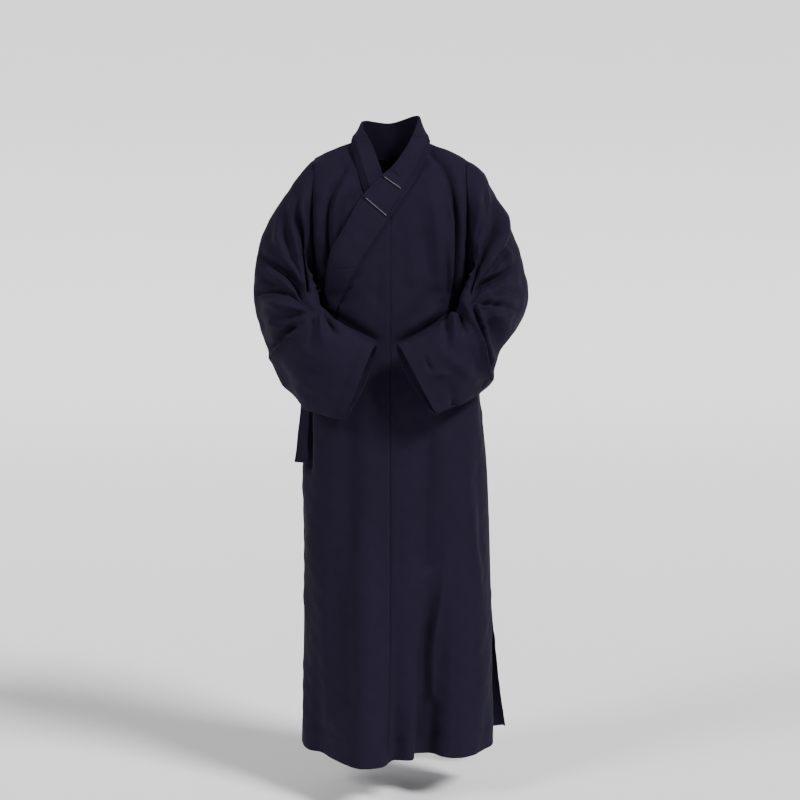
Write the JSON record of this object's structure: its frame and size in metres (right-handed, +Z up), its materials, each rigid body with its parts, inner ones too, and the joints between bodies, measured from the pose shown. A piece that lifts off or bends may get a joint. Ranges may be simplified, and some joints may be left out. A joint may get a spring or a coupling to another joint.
{
  "type": "buddhist monk robe",
  "caption": "Long dark navy cross-collar robe in its worn shape, with wide sleeves bent forward, a layered collar band, a side tie and open side slits.",
  "frame": {"origin": "middle of the neck opening, level with the shoulders that carry the robe", "axes": "+Z up along the robe, the front faces -Y, +X towards the wearer's left"},
  "size_m": [0.6285, 0.4106, 1.4621],
  "materials": {
    "navy_cloth": "matte plain weave"
  },
  "bodies": {
    "root": {"front_left": "navy_cloth", "front_overlap": "navy_cloth", "front_inner": "navy_cloth", "back_left": "navy_cloth", "back_right": "navy_cloth", "sleeve_left": "navy_cloth", "sleeve_right": "navy_cloth", "collar_base": "navy_cloth", "collar_middle": "navy_cloth", "collar_top": "navy_cloth", "tie_front": "navy_cloth", "tie_back": "navy_cloth", "tie_knot": "navy_cloth"}
  },
  "joints": []
}
